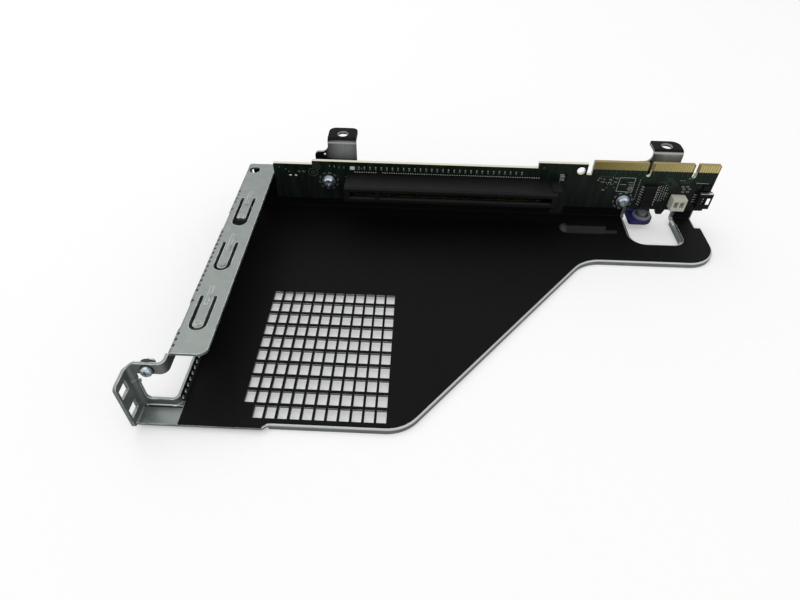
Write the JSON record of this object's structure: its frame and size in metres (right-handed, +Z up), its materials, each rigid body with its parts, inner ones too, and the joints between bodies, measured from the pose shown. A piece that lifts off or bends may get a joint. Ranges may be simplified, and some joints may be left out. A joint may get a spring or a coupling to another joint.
{
  "type": "riser cage bracket",
  "caption": "Folded sheet-metal riser cage with a vent grid, spring-finger rail, hooked end wall, holed tabs and a slotted riser board for one expansion card.",
  "frame": {"origin": "bottom centre of the whole part's box", "axes": "+X along the board from the hooked wall to the handle, +Y towards the back wall, +Z up from the plate"},
  "size_m": [0.2168, 0.1326, 0.0371],
  "materials": {
    "galvanised": "galvanised, satin",
    "film": "black, fine matt grain",
    "board": "dark green solder mask",
    "gold": "gold plated, satin",
    "zinc": "zinc plated",
    "black_plastic": "moulded, matt",
    "ceramic_pale": "ceramic",
    "ceramic_dark": "resistor glaze",
    "white_resin": "moulded, matt",
    "tin": "tinned",
    "cream_plastic": "moulded, matt",
    "blue_plastic": "moulded, matt",
    "grey_plastic": "moulded, matt",
    "dark_steel": "black oxide"
  },
  "bodies": {
    "root": {"cage_sheet": "galvanised", "insulator_film": "film", "riser_board": "board", "edge_contacts": "gold", "board_standoffs": "zinc", "board_washers": "zinc", "board_screws": "zinc", "slot_housing": "black_plastic", "slot_contacts": "gold", "coupling_capacitors": "ceramic_pale", "small_capacitors": "ceramic_pale", "small_resistors": "ceramic_dark", "regulators": "black_plastic", "status_lamp": "white_resin", "logic_chip": "black_plastic", "logic_chip_leads": "tin", "header_body": "cream_plastic", "header_pins": "tin", "side_shell": "black_plastic", "side_cover": "tin", "side_tongue": "black_plastic", "side_contacts": "tin", "touch_point": "blue_plastic", "touch_collar": "grey_plastic", "card_screw": "zinc", "card_nut": "dark_steel"}
  },
  "joints": []
}
